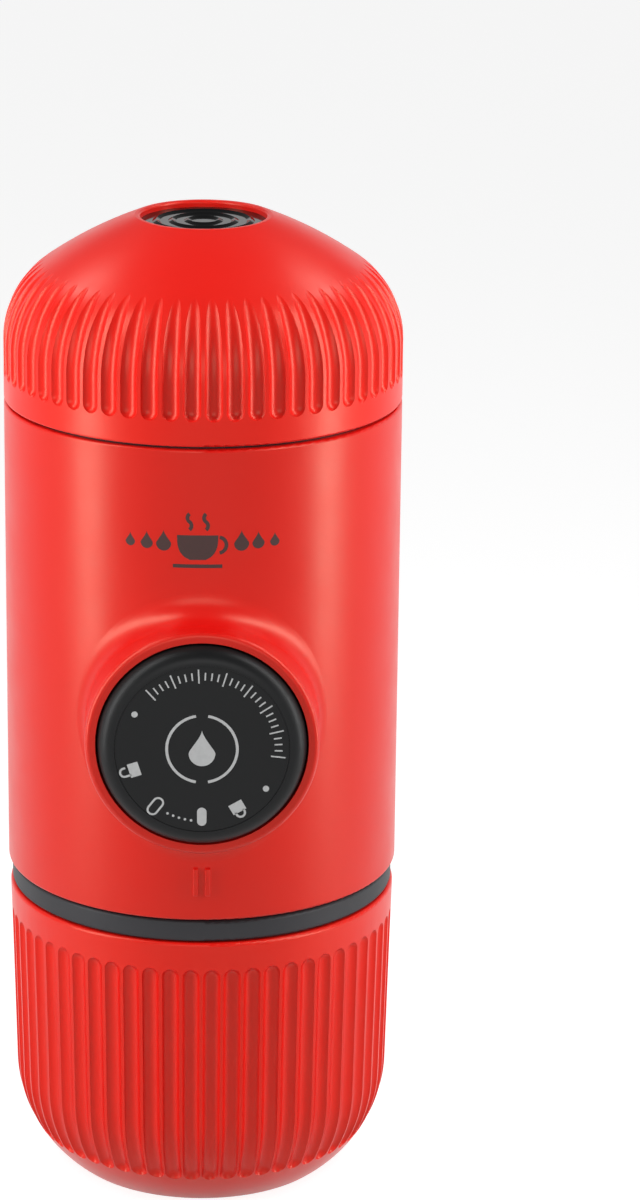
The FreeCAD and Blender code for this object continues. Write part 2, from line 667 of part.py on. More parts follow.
def make_neck_housing():
    """Tank floor with its threaded neck, the intake duct and the bosses below it."""
    floor = turned([
        (0, NECK_PLATE_Z), (PLATE_RADIUS, NECK_PLATE_Z), (PLATE_RADIUS, REBATE_Z),
        (REBATE_RADIUS - FIT_CLEARANCE, REBATE_Z),
        (REBATE_RADIUS - FIT_CLEARANCE, NECK_FLANGE_Z), (0, NECK_FLANGE_Z),
    ])
    neck = ring(NECK_RADIUS - NECK_WALL, NECK_RADIUS, NECK_FLANGE_Z - FIT_CLEARANCE, NECK_TOP_Z)
    low = NECK_FLANGE_Z + THREAD_CREST_WIDTH
    high = NECK_TOP_Z - THREAD_CREST_WIDTH
    ridges = thread_ridges(NECK_RADIUS, 1, low, high, 0)
    duct_foot = KNOB_Z + PAD_HEIGHT
    duct = disc(DUCT_RADIUS, duct_foot, NECK_PLATE_Z, 0, -PORT_AT)
    flange_post = post(
        -PUMP_FRONT, -PUMP_FRONT + PUMP_FLANGE, KNOB_Z + PUMP_FLANGE_FLAT, NECK_PLATE_Z)
    boss_foot = NECK_PLATE_Z - TIE_BOSS_LENGTH
    bosses = [
        disc(TIE_SHANK_RADIUS + TIE_BOSS_WALL, boss_foot, NECK_PLATE_Z, place.x, place.y)
        for place in tie_places(0)]
    housing = floor.fuse([neck, duct, flange_post] + bosses + ridges)
    bore = disc(DUCT_BORE_RADIUS, duct_foot, NECK_FLANGE_Z, 0, -PORT_AT)
    pocket_floor = NECK_FLANGE_Z - STRAINER_THICKNESS
    pocket = disc(STRAINER_RADIUS + FIT_CLEARANCE, pocket_floor, NECK_FLANGE_Z, 0, -PORT_AT)
    screw_holes = [
        disc(TIE_SHANK_RADIUS, boss_foot, boss_foot + TIE_BITE, place.x, place.y)
        for place in tie_places(0)]
    air_hole = disc(
        AIR_VALVE_RADIUS - AIR_VALVE_WALL, NECK_PLATE_Z, NECK_FLANGE_Z, 0, -AIR_VALVE_DISTANCE)
    return housing.cut([bore, pocket, air_hole] + screw_holes).removeSplitter()


def make_intake_strainer():
    """Perforated disc over the intake duct."""
    low = NECK_FLANGE_Z - STRAINER_THICKNESS
    plate = disc(STRAINER_RADIUS, low, NECK_FLANGE_Z)
    limit = DUCT_BORE_RADIUS - STRAINER_HOLE_RADIUS / 2
    plate = plate.cut(hex_holes(STRAINER_HOLE_RADIUS, STRAINER_HOLE_PITCH, limit, low, NECK_FLANGE_Z))
    plate.translate(FreeCAD.Vector(0, -PORT_AT, 0))
    return plate


def make_air_valve():
    """Soft duckbill valve that lets air into the tank."""
    low = NECK_FLANGE_Z
    top = low + AIR_VALVE_HEIGHT
    hollow_top = top - AIR_VALVE_WALL
    body = turned([
        (0, low), (AIR_VALVE_RADIUS, low), (AIR_VALVE_RADIUS, low + AIR_VALVE_HEIGHT / 4),
        (AIR_VALVE_RADIUS / 2, top), (0, top),
    ])
    hollow = turned([
        (0, low), (AIR_VALVE_RADIUS - AIR_VALVE_WALL, low),
        (AIR_VALVE_WALL / 2, hollow_top), (0, hollow_top),
    ])
    slit_floor = hollow_top - AIR_VALVE_WALL / 2
    slit = block(AIR_VALVE_RADIUS / 4, -SEAM_GAP / 2, SEAM_GAP / 2, slit_floor, top)
    valve = body.cut([hollow, slit])
    valve.translate(FreeCAD.Vector(0, -AIR_VALVE_DISTANCE, 0))
    return valve


def umbrella_valve(mouth_z, down):
    """Soft disc valve with a stem, in its pocket at the mouth of a pump port."""
    stem_radius = PORT_RADIUS / 2
    valve = disc(VALVE_RADIUS, 0, VALVE_THICKNESS)
    stem = disc(stem_radius, VALVE_THICKNESS, VALVE_POCKET_DEPTH + 2 * VALVE_THICKNESS)
    valve = valve.fuse(stem).removeSplitter()
    valve.translate(FreeCAD.Vector(0, 0, -VALVE_POCKET_DEPTH))
    if down:
        valve.rotate(CENTRE, FreeCAD.Vector(1, 0, 0), 180)
    valve.translate(FreeCAD.Vector(0, -PORT_AT, mouth_z))
    return valve


def make_inlet_valve():
    """Valve between the intake duct and the pump."""
    return umbrella_valve(KNOB_Z + PAD_HEIGHT, False)


def make_outlet_valve():
    """Valve between the pump and the spigot."""
    return umbrella_valve(KNOB_Z - PAD_HEIGHT, True)


def make_pump_cylinder():
    """Cross-wise pump cylinder with its front flange, two valve pads and ports."""
    barrel = disc(PUMP_RADIUS, PUMP_BACK, PUMP_FRONT)
    flange = disc(PUMP_FLANGE_RADIUS, PUMP_FRONT - PUMP_FLANGE, PUMP_FRONT)
    flat = Part.makeBox(
        2 * PUMP_FLANGE_RADIUS, 2 * PUMP_FLANGE_FLAT, PUMP_FLANGE,
        FreeCAD.Vector(-PUMP_FLANGE_RADIUS, -PUMP_FLANGE_FLAT, PUMP_FRONT - PUMP_FLANGE))
    pads = block(
        PAD_HALF_WIDTH, -PAD_HEIGHT, PAD_HEIGHT, PORT_AT - PAD_HALF_WIDTH, PORT_AT + PAD_HALF_WIDTH)
    pads = round_edges(pads, PAD_RISE, lambda edge: edge.BoundBox.YLength > PAD_HEIGHT)
    cylinder = barrel.fuse([flange.common(flat), pads])
    bore = disc(PUMP_BORE_RADIUS, CHAMBER_END, PUMP_FRONT)
    screw_holes = [
        disc(SCREW_SHANK_RADIUS, PUMP_FRONT - PUMP_FLANGE, PUMP_FRONT, place.x, place.y)
        for place in sleeve_screw_places()]
    cylinder = cylinder.cut([bore] + screw_holes)
    cylinder = facing_front(cylinder)
    for way in (-1, 1):
        mouth = KNOB_Z + way * PAD_HEIGHT
        inner = KNOB_Z + way * (PAD_HEIGHT - VALVE_POCKET_DEPTH)
        pocket = disc(VALVE_RADIUS + FIT_CLEARANCE, min(mouth, inner), max(mouth, inner), 0, -PORT_AT)
        port = disc(PORT_RADIUS, min(KNOB_Z, mouth), max(KNOB_Z, mouth), 0, -PORT_AT)
        cylinder = cylinder.cut([pocket, port])
    return cylinder.removeSplitter()


def sleeve_screw_places():
    """Centres of the sleeve's four screws, about the knob's axis."""
    return [polar(SLEEVE_SCREW_CIRCLE, SLEEVE_SCREW_ANGLE + 90 * index) for index in range(4)]


def make_guide_sleeve():
    """Sleeve that guides the knob, with a window and an entry for each of its lugs."""
    base = disc(PUMP_FLANGE_RADIUS, PUMP_FRONT, SLEEVE_BASE)
    tube = ring(SLEEVE_INNER_RADIUS, SLEEVE_RADIUS, SLEEVE_BASE, SLEEVE_FRONT)
    sleeve = base.fuse(tube)
    cuts = [disc(ROD_RADIUS + RUNNING_CLEARANCE + BUSHING_WALL, PUMP_FRONT, SLEEVE_BASE)]
    cuts += [disc(SCREW_SHANK_RADIUS, PUMP_FRONT, SLEEVE_BASE, place.x, place.y)
             for place in sleeve_screw_places()]
    inner = SLEEVE_INNER_RADIUS - MOVING_CLEARANCE
    outer = SLEEVE_RADIUS + MOVING_CLEARANCE
    play = math.degrees(MOVING_CLEARANCE / SLEEVE_INNER_RADIUS)
    window_low = SKIRT_END - MOVING_CLEARANCE
    window_high = LUG_FRONT + STROKE + MOVING_CLEARANCE
    lug_sweep = LUG_ANGLE + 2 * play
    for lug in LUG_PLACES:
        first = lug - lug_sweep / 2
        cuts.append(sector(inner, outer, window_low, window_high, first, ENTRY_TURN + lug_sweep))
        cuts.append(sector(
            inner, outer, window_low, SLEEVE_FRONT, first + ENTRY_TURN, lug_sweep))
    return facing_front(sleeve.cut(cuts).removeSplitter())


def make_guide_screws():
    """Four pan-head screws that hold the sleeve on the pump."""
    screws = []
    for place in sleeve_screw_places():
        screw = pan_screw(
            SCREW_HEAD_RADIUS, SCREW_HEAD_HEIGHT, SCREW_SHANK_RADIUS, BASE_PLATE + PUMP_FLANGE)
        screw.rotate(CENTRE, FreeCAD.Vector(1, 0, 0), 180)
        screw.translate(FreeCAD.Vector(place.x, place.y, SLEEVE_BASE))
        screws.append(facing_front(screw))
    return Part.makeCompound(screws)


def make_rod_bushing():
    """Flanged bushing that the piston rod runs in."""
    inner = ROD_RADIUS + RUNNING_CLEARANCE
    outer = inner + BUSHING_WALL
    flange = outer + BUSHING_FLANGE
    return facing_front(turned([
        (inner, PUMP_FRONT), (outer, PUMP_FRONT), (outer, SLEEVE_BASE), (flange, SLEEVE_BASE),
        (flange, SLEEVE_BASE + BUSHING_FLANGE), (inner, SLEEVE_BASE + BUSHING_FLANGE),
    ]))


def arc_from(start, tangent, end):
    """Arc edge that leaves its start along a tangent and ends at a point."""
    chord = end - start
    along = FreeCAD.Vector(chord).normalize()
    side = tangent - along * tangent.dot(along)
    angle = math.atan2(side.Length, tangent.dot(along))
    rise = chord.Length / 2 * math.tan(angle / 2)
    middle = (start + end) * 0.5 + side.normalize() * rise
    return Part.Arc(start, middle, end).toShape()


def biarc(start, leaving, end, arriving):
    """Two arcs that join two points smoothly, along a tangent at each of them."""
    span = end - start
    both = span.dot(leaving + arriving)
    spread = 2 * (1 - leaving.dot(arriving))
    reach = (-both + math.sqrt(both * both + spread * span.dot(span))) / spread
    joint = (start + end) * 0.5 + (leaving - arriving) * (reach / 2)
    back = arc_from(end, arriving * -1, joint)
    return [arc_from(start, leaving, joint), reversed_arc(back)]


def reversed_arc(edge):
    """The same arc, run the other way."""
    first, last = edge.FirstParameter, edge.LastParameter
    middle = edge.valueAt((first + last) / 2)
    return Part.Arc(edge.valueAt(last), middle, edge.valueAt(first)).toShape()


def make_piston_spring():
    """Return spring between the sleeve's base and the thrust washer."""
    low = SLEEVE_BASE + SPRING_WIRE_RADIUS + SEAT_CLEARANCE
    high = WASHER_BACK - SPRING_WIRE_RADIUS - SEAT_CLEARANCE
    climb = (high - low) / SPRING_TURNS
    around = 2 * math.pi * SPRING_MEAN_RADIUS

    def place(quarter):
        return polar(SPRING_MEAN_RADIUS, 90 * quarter, low + climb * quarter / 4)

    def heading(quarter):
        return (polar(around, 90 * (quarter + 1)) + FreeCAD.Vector(0, 0, climb)).normalize()

    path = []
    for quarter in range(4 * SPRING_TURNS):
        path += biarc(place(quarter), heading(quarter), place(quarter + 1), heading(quarter + 1))
    section = Part.Wire(Part.makeCircle(SPRING_WIRE_RADIUS, place(0), heading(0)))
    return facing_front(Part.Wire(path).makePipeShell([section], True, False))


def make_piston_rod():
    """Rod from the piston to the nose that the knob turns on."""
    rod = turned([
        (0, PISTON_FRONT), (ROD_RADIUS, PISTON_FRONT), (ROD_RADIUS, ROD_SHOULDER),
        (ROD_NOSE_RADIUS, ROD_SHOULDER), (ROD_NOSE_RADIUS, ROD_NOSE), (0, ROD_NOSE),
    ])
    front_hole = disc(SCREW_SHANK_RADIUS, ROD_NOSE - SCREW_BITE, ROD_NOSE)
    back_hole = disc(SCREW_SHANK_RADIUS, PISTON_FRONT, PISTON_FRONT + SCREW_BITE)
    return facing_front(rod.cut([front_hole, back_hole]))


def seal_groove_span():
    """Ends of the seal groove, along the knob's axis."""
    middle = (PISTON_FRONT + PISTON_BACK) / 2
    return middle - PISTON_SEAL_WIDTH / 2, middle + PISTON_SEAL_WIDTH / 2


def make_piston_head():
    """Grooved piston head on the rod's back end."""
    radius = PUMP_BORE_RADIUS - RUNNING_CLEARANCE
    low, high = seal_groove_span()
    head = disc(radius, PISTON_BACK, PISTON_FRONT)
    groove = ring(radius - PISTON_SEAL_DEPTH, radius + FIT_CLEARANCE, low, high)
    hole = disc(SCREW_SHANK_RADIUS, PISTON_BACK, PISTON_FRONT)
    head_pocket = disc(
        SCREW_HEAD_RADIUS + FIT_CLEARANCE, PISTON_BACK, PISTON_BACK + SCREW_HEAD_HEIGHT)
    return facing_front(head.cut([groove, hole, head_pocket]))


def make_piston_seal():
    """Lip seal in the piston's groove."""
    radius = PUMP_BORE_RADIUS - RUNNING_CLEARANCE / 2
    base = PUMP_BORE_RADIUS - RUNNING_CLEARANCE - PISTON_SEAL_DEPTH + FIT_CLEARANCE
    low, high = seal_groove_span()
    low += FIT_CLEARANCE
    high -= FIT_CLEARANCE
    middle = (low + high) / 2
    waist = radius - PISTON_SEAL_DEPTH / 4
    return facing_front(turned([
        (base, low), (radius, low), (radius, low + PISTON_SEAL_WIDTH / 5), (waist, middle),
        (radius, high - PISTON_SEAL_WIDTH / 5), (radius, high), (base, high),
    ]))


def make_piston_screw():
    """Screw through the piston head into the rod."""
    screw = pan_screw(SCREW_HEAD_RADIUS, SCREW_HEAD_HEIGHT, SCREW_SHANK_RADIUS,
                      PISTON_LENGTH - SCREW_HEAD_HEIGHT + SCREW_BITE)
    screw.translate(at(0, PISTON_BACK + SCREW_HEAD_HEIGHT))
    return facing_front(screw)


def make_thrust_washer():
    """Washer between the spring and the knob, so that the knob turns freely."""
    return facing_front(ring(ROD_RADIUS + FIT_CLEARANCE, WASHER_RADIUS, WASHER_BACK, ROD_SHOULDER))


def make_knob_screw():
    """Screw in the rod's nose that keeps the knob on."""
    screw = pan_screw(CENTRE_HEAD_RADIUS, SCREW_HEAD_HEIGHT, SCREW_SHANK_RADIUS, SCREW_BITE)
    screw.rotate(CENTRE, FreeCAD.Vector(1, 0, 0), 180)
    screw.translate(at(0, ROD_NOSE))
    return facing_front(screw)


def make_knob_cap():
    """Pump knob with its rounded rim, skirt, hub and two guide lugs."""
    knob = disc(KNOB_RADIUS, SKIRT_END, KNOB_FACE)
    knob = round_edges(knob, KNOB_RIM_ROUND, circle_test((KNOB_RADIUS, KNOB_FACE)))
    hollow = disc(SKIRT_INNER_RADIUS, SKIRT_END, KNOB_UNDER)
    knob = knob.cut(hollow).fuse(disc(HUB_RADIUS, HUB_END, KNOB_UNDER))
    lug_inner = SLEEVE_INNER_RADIUS + MOVING_CLEARANCE
    lugs = [
        sector(lug_inner, SKIRT_INNER_RADIUS + FIT_CLEARANCE, SKIRT_END, LUG_FRONT,
               angle - LUG_ANGLE / 2, LUG_ANGLE)
        for angle in LUG_PLACES]
    knob = knob.fuse(lugs)
    face_recess = disc(face_disc_radius() + FIT_CLEARANCE, FACE_DISC_BACK, KNOB_FACE)
    screw_pocket = disc(
        CENTRE_HEAD_RADIUS + RUNNING_CLEARANCE, ROD_NOSE - SEAT_CLEARANCE, FACE_DISC_BACK)
    nose_bore = disc(ROD_NOSE_RADIUS + RUNNING_CLEARANCE, HUB_END, ROD_NOSE)
    return facing_front(knob.cut([face_recess, screw_pocket, nose_bore]).removeSplitter())


def face_disc_radius():
    """Radius of the knob's face disc, which ends where the rim starts to round."""
    return KNOB_RADIUS - KNOB_RIM_ROUND - FIT_CLEARANCE


def make_knob_face():
    """Face disc that hides the knob's screw and carries its print."""
    return facing_front(disc(face_disc_radius(), FACE_DISC_BACK, FACE_DISC_FRONT))


def make_spigot_housing():
    """Bottom plate with its threaded spigot, the outlet duct and a post."""
    plate_top = BODY_BOTTOM_Z + SPIGOT_PLATE
    plate = disc(PLATE_RADIUS, BODY_BOTTOM_Z, plate_top)
    low = SPIGOT_BOTTOM_Z + SEAM_GAP
    high = BODY_BOTTOM_Z - SHADOW_GAP - THREAD_CREST_WIDTH
    spigot = disc(SPIGOT_RADIUS, SPIGOT_BOTTOM_Z, BODY_BOTTOM_Z)
    spigot = spigot.fuse(thread_ridges(SPIGOT_RADIUS, 1, low, high, 0))
    duct_head = KNOB_Z - PAD_HEIGHT
    duct = disc(DUCT_RADIUS, BODY_BOTTOM_Z, duct_head, 0, -PORT_AT)
    flange_post = post(-PUMP_FRONT, -PUMP_FRONT + PUMP_FLANGE, plate_top, KNOB_Z - PUMP_FLANGE_FLAT)
    housing = plate.fuse([spigot, duct, flange_post])
    chamber = disc(SPIGOT_RADIUS - SPIGOT_WALL, SPIGOT_BOTTOM_Z + SPIGOT_FLOOR, BODY_BOTTOM_Z)
    chamber = chamber.cut(disc(SCREW_PILLAR_RADIUS, SPIGOT_BOTTOM_Z, BODY_BOTTOM_Z))
    bore = disc(DUCT_BORE_RADIUS, BODY_BOTTOM_Z, duct_head, 0, -PORT_AT)
    screw_hole = disc(CENTRE_SCREW_RADIUS, SPIGOT_BOTTOM_Z, SPIGOT_BOTTOM_Z + SCREW_BITE)
    tie_holes = []
    for place in tie_places(BODY_BOTTOM_Z):
        hole = countersunk_screw(TIE_HEAD_RADIUS, TIE_HEAD_HEIGHT, TIE_SHANK_RADIUS, SPIGOT_PLATE)
        hole.translate(place)
        tie_holes.append(hole)
    feeds = []
    floor_top = SPIGOT_BOTTOM_Z + SPIGOT_FLOOR
    for index in range(FEED_HOLE_COUNT):
        place = polar(FEED_CIRCLE_RADIUS, 360 * index / FEED_HOLE_COUNT)
        feeds.append(disc(PORT_RADIUS, SPIGOT_BOTTOM_Z, floor_top, place.x, place.y))
    return housing.cut([chamber, bore, screw_hole] + tie_holes + feeds).removeSplitter()


def make_brew_gasket():
    """Soft ring that the basket's rim presses on."""
    return ring(GASKET_RADIUS - GASKET_WIDTH, GASKET_RADIUS, GASKET_BOTTOM_Z, SPIGOT_BOTTOM_Z)


def make_shower_screen():
    """Perforated disc that spreads the water over the coffee."""
    low = SPIGOT_BOTTOM_Z - SCREEN_THICKNESS
    screen = disc(SCREEN_RADIUS, low, SPIGOT_BOTTOM_Z)
    holes = [disc(CENTRE_SCREW_RADIUS, low, SPIGOT_BOTTOM_Z)]
    for index in range(1, SCREEN_HOLE_RINGS + 1):
        ring_radius = (index + 0.5) * SCREEN_HOLE_PITCH
        if ring_radius > SCREEN_RADIUS - SCREEN_HOLE_PITCH / 2:
            break
        count = SCREEN_HOLES_PER_RING * index
        for step in range(count):
            place = polar(ring_radius, 360 * step / count)
            holes.append(disc(SCREEN_HOLE_RADIUS, low, SPIGOT_BOTTOM_Z, place.x, place.y))
    return screen.cut(holes)


def make_shower_screw():
    """Screw that holds the shower screen."""
    screw = pan_screw(
        CENTRE_HEAD_RADIUS, SCREEN_THICKNESS, CENTRE_SCREW_RADIUS, SCREEN_THICKNESS + SCREW_BITE)
    screw.translate(at(0, SPIGOT_BOTTOM_Z - SCREEN_THICKNESS))
    return screw


def grip_ring_centre():
    """Radius and height of the middle of the cup's grip ring."""
    height = CUP_RIM_Z - GRIP_RING_BELOW_RIM
    inner_wall = cup_side_radius(height, CUP_WALL)
    return inner_wall - GRIP_RING_CLEARANCE - GRIP_RING_RADIUS, height


def make_cup_grip_ring():
    """Round ring that the cup is pushed onto."""
    radius, height = grip_ring_centre()
    return Part.makeTorus(radius, GRIP_RING_RADIUS, FreeCAD.Vector(0, 0, height))


def make_outlet_head_shell():
    """Outlet head with its flange, female thread, basket well and spout."""
    ring_radius, ring_z = grip_ring_centre()
    land_radius = max(ring_radius - GRIP_RING_RADIUS / 2, BARREL_RADIUS)
    step_z = BASKET_LEDGE_Z - HEAD_WALL
    outer = turned([
        (0, SPOUT_Z), (SPOUT_RADIUS, SPOUT_Z),
        (SPOUT_BLOCK_RADIUS, HEAD_BOTTOM_Z - SPOUT_LENGTH / 3),
        (SPOUT_BLOCK_RADIUS + HEAD_WALL, HEAD_BOTTOM_Z),
        (LOWER_BARREL_RADIUS - HEAD_WALL, HEAD_BOTTOM_Z),
        (LOWER_BARREL_RADIUS, HEAD_BOTTOM_Z + HEAD_WALL),
        (LOWER_BARREL_RADIUS, step_z - HEAD_WALL), (land_radius, step_z + HEAD_WALL),
        (land_radius, FLANGE_BOTTOM_Z), (HEAD_FLANGE_RADIUS, FLANGE_BOTTOM_Z),
        (HEAD_FLANGE_RADIUS, FLANGE_TOP_Z), (0, FLANGE_TOP_Z),
    ])
    outer = round_edges(
        outer, HEAD_EDGE_ROUND,
        circle_test((HEAD_FLANGE_RADIUS, FLANGE_TOP_Z), (HEAD_FLANGE_RADIUS, FLANGE_BOTTOM_Z)))
    well = disc(HEAD_WELL_RADIUS, HEAD_WELL_Z, FLANGE_TOP_Z)
    bore = disc(HEAD_BORE_RADIUS, BASKET_LEDGE_Z, FLANGE_TOP_Z)
    valve_depth = PRESSURE_VALVE_THICKNESS + RETAINER_THICKNESS
    valve_pocket = disc(PRESSURE_VALVE_RADIUS + FIT_CLEARANCE, HEAD_WELL_Z - valve_depth, HEAD_WELL_Z)
    outlet = disc(SPOUT_BORE_RADIUS, SPOUT_Z, HEAD_WELL_Z)
    seal_inner = HEAD_BORE_RADIUS + HEAD_WALL / 2
    seal_groove = ring(
        seal_inner, seal_inner + HEAD_SEAL_WIDTH + 2 * SEAM_GAP,
        FLANGE_TOP_Z - HEAD_SEAL_THICKNESS, FLANGE_TOP_Z)
    ring_groove = Part.makeTorus(
        ring_radius, GRIP_RING_RADIUS + FIT_CLEARANCE, FreeCAD.Vector(0, 0, ring_z))
    head = outer.cut([well, bore, valve_pocket, outlet, seal_groove, ring_groove])
    low = SPIGOT_BOTTOM_Z + SEAM_GAP
    high = BODY_BOTTOM_Z - SHADOW_GAP - THREAD_CREST_WIDTH
    return head.fuse(thread_ridges(HEAD_BORE_RADIUS, -1, low, high, 0.5)).removeSplitter()


def make_head_seal_ring():
    """Loose ring in the flange's groove, against the body's bottom plate."""
    inner = HEAD_BORE_RADIUS + HEAD_WALL / 2 + SEAM_GAP
    low = FLANGE_TOP_Z - HEAD_SEAL_THICKNESS + SEAT_CLEARANCE
    return ring(inner, inner + HEAD_SEAL_WIDTH, low, BODY_BOTTOM_Z - SEAT_CLEARANCE)


def make_pressure_valve():
    """Soft slit valve that holds the coffee back until there is pressure."""
    low = HEAD_WELL_Z - PRESSURE_VALVE_THICKNESS - RETAINER_THICKNESS
    high = low + PRESSURE_VALVE_THICKNESS
    valve = disc(PRESSURE_VALVE_RADIUS, low, high)
    dish = Part.makeCone(
        SPOUT_BORE_RADIUS, SPOUT_BORE_RADIUS + PRESSURE_VALVE_THICKNESS / 2,
        PRESSURE_VALVE_THICKNESS / 2, at(0, high - PRESSURE_VALVE_THICKNESS / 2))
    slits = [
        block(SPOUT_BORE_RADIUS, -SEAM_GAP / 2, SEAM_GAP / 2, low, high),
        block(SEAM_GAP / 2, -SPOUT_BORE_RADIUS, SPOUT_BORE_RADIUS, low, high),
    ]
    return valve.cut([dish] + slits)


def make_valve_retainer():
    """Flat ring over the pressure valve, with two notches for a key."""
    high = HEAD_WELL_Z
    low = high - RETAINER_THICKNESS
    retainer = ring(SPOUT_BORE_RADIUS + RETAINER_THICKNESS, PRESSURE_VALVE_RADIUS, low, high)
    notch = block(PRESSURE_VALVE_RADIUS, -RETAINER_THICKNESS / 2, RETAINER_THICKNESS / 2,
                  high - RETAINER_THICKNESS / 2, high)
    return retainer.cut(notch)


def make_filter_basket():
    """Thin basket that holds the ground coffee."""
    top = BASKET_TOP_Z
    bottom = BASKET_BOTTOM_Z
    ledge = BASKET_RADIUS - BASKET_LEDGE
    return turned([
        (BASKET_RADIUS, top), (BASKET_RADIUS, bottom + BASKET_WALL),
        (ledge, bottom + BASKET_WALL), (ledge, bottom),
        (BASKET_OUTER_RADIUS, bottom), (BASKET_OUTER_RADIUS, top - BASKET_RIM),
        (BASKET_RIM_RADIUS, top - BASKET_RIM), (BASKET_RIM_RADIUS, top),
    ])


def make_basket_screen():
    """Perforated floor of the filter basket."""
    low = BASKET_BOTTOM_Z + BASKET_WALL
    high = low + BASKET_SCREEN_THICKNESS
    screen = disc(BASKET_RADIUS - FIT_CLEARANCE, low, high)
    limit = BASKET_RADIUS - BASKET_LEDGE - BASKET_HOLE_RADIUS
    return screen.cut(hex_holes(BASKET_HOLE_RADIUS, BASKET_HOLE_PITCH, limit, low, high))


NODES = {
    "cup": make_cup,
    "tank_shell": make_tank_shell,
    "tank_base_insert": make_tank_base_insert,
    "tank_seal_ring": make_tank_seal_ring,
    "body_shell": make_body_shell,
    "neck_housing": make_neck_housing,
    "intake_strainer": make_intake_strainer,
    "air_valve": make_air_valve,
    "inlet_valve": make_inlet_valve,
    "outlet_valve": make_outlet_valve,
    "pump_cylinder": make_pump_cylinder,
    "guide_sleeve": make_guide_sleeve,
    "guide_screws": make_guide_screws,
    "rod_bushing": make_rod_bushing,
    "piston_spring": make_piston_spring,
    "spigot_housing": make_spigot_housing,
    "tie_screws": make_tie_screws,
    "brew_gasket": make_brew_gasket,
    "shower_screen": make_shower_screen,
    "shower_screw": make_shower_screw,
    "piston_rod": make_piston_rod,
    "piston_head": make_piston_head,
    "piston_seal": make_piston_seal,
    "piston_screw": make_piston_screw,
    "thrust_washer": make_thrust_washer,
    "knob_screw": make_knob_screw,
    "knob_cap": make_knob_cap,
    "knob_face": make_knob_face,
    "head_seal_ring": make_head_seal_ring,
    "outlet_head_shell": make_outlet_head_shell,
    "pressure_valve": make_pressure_valve,
    "valve_retainer": make_valve_retainer,
    "cup_grip_ring": make_cup_grip_ring,
    "filter_basket": make_filter_basket,
    "basket_screen": make_basket_screen,
}


def main():
    """Build every node and write its STEP file."""
    os.makedirs("parts", exist_ok=True)
    for name, make in NODES.items():
        shape = make()
        shape.exportStep(f"parts/{name}.step")
        print(f"{name}: {len(shape.Solids)} solids, valid {shape.isValid()}, {shape.Volume:.1f} mm3")


main()
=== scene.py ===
import json
import math

import bmesh
import bpy
from mathutils import Matrix, Vector


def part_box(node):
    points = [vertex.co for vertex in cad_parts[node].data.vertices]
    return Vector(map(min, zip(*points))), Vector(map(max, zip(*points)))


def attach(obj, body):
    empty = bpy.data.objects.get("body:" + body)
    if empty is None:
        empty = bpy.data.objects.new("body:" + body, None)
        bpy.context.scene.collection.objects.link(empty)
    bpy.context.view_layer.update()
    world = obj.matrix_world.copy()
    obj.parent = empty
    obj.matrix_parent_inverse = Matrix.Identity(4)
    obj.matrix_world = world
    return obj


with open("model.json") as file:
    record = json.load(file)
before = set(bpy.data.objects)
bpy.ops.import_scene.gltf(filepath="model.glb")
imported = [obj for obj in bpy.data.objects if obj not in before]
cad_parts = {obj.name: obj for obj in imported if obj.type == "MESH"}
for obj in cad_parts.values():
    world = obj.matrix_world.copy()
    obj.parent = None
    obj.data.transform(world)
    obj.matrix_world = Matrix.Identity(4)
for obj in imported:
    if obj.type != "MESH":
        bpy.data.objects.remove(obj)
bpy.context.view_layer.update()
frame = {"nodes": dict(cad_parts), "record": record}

MM = 0.001

# The camera of the photograph, whose frame is 640 by 1200 pixels
CAMERA_PLACE = Vector((0.16, -643.98, 299.65)) * MM
CAMERA_DOWN = math.radians(17.74)
CAMERA_YAW = math.radians(-0.02)
CAMERA_ROLL = math.radians(0.18)
CAMERA_LENS = 128.3
CAMERA_SHIFT = 0.0959

# Sizes taken from the frame
KNOB_LOW, KNOB_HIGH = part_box("knob_cap")
KNOB_HEIGHT = (KNOB_LOW[2] + KNOB_HIGH[2]) / 2
FACE_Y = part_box("knob_face")[0][1]
BODY_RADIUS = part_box("body_shell")[1][0]

# Height of the print on the body, above the floor
BODY_PRINT_HEIGHT = 113.2 * MM

# Rings of the knob's print: one for the dots and the outlined pill, one for the filled
# pill, one for the padlocks and one for the broken ring round the drop
DOT_RING = 11.5 * MM
PILL_RING = 10.8 * MM
PADLOCK_RING = 10.7 * MM
DROP_RING = 5.3 * MM

# Light of the even sky, and what the floor adds to itself where it is seen directly
SKY_LEVEL = 0.24
FLOOR_LIFT = 0.82

# Reach of the floor, and the height of the round wall at its edge that hides the horizon
FLOOR_REACH = 6.0
WALL_HEIGHT = 1.8

# Thickness of the printed ink, and how far it is sunk so that no edge floats
INK = 0.02 * MM
INK_SUNK = 0.01 * MM

# Tints of the gleam on plastics
NEUTRAL = (1.0, 1.0, 1.0, 1.0)
WARM = (1.0, 0.85, 0.62, 1.0)


def colour(red, green, blue):
    """Linear colour from the 0 to 255 values of a picture."""
    def linear(value):
        value /= 255
        return value / 12.92 if value <= 0.04045 else ((value + 0.055) / 1.055) ** 2.4
    return (linear(red), linear(green), linear(blue), 1.0)


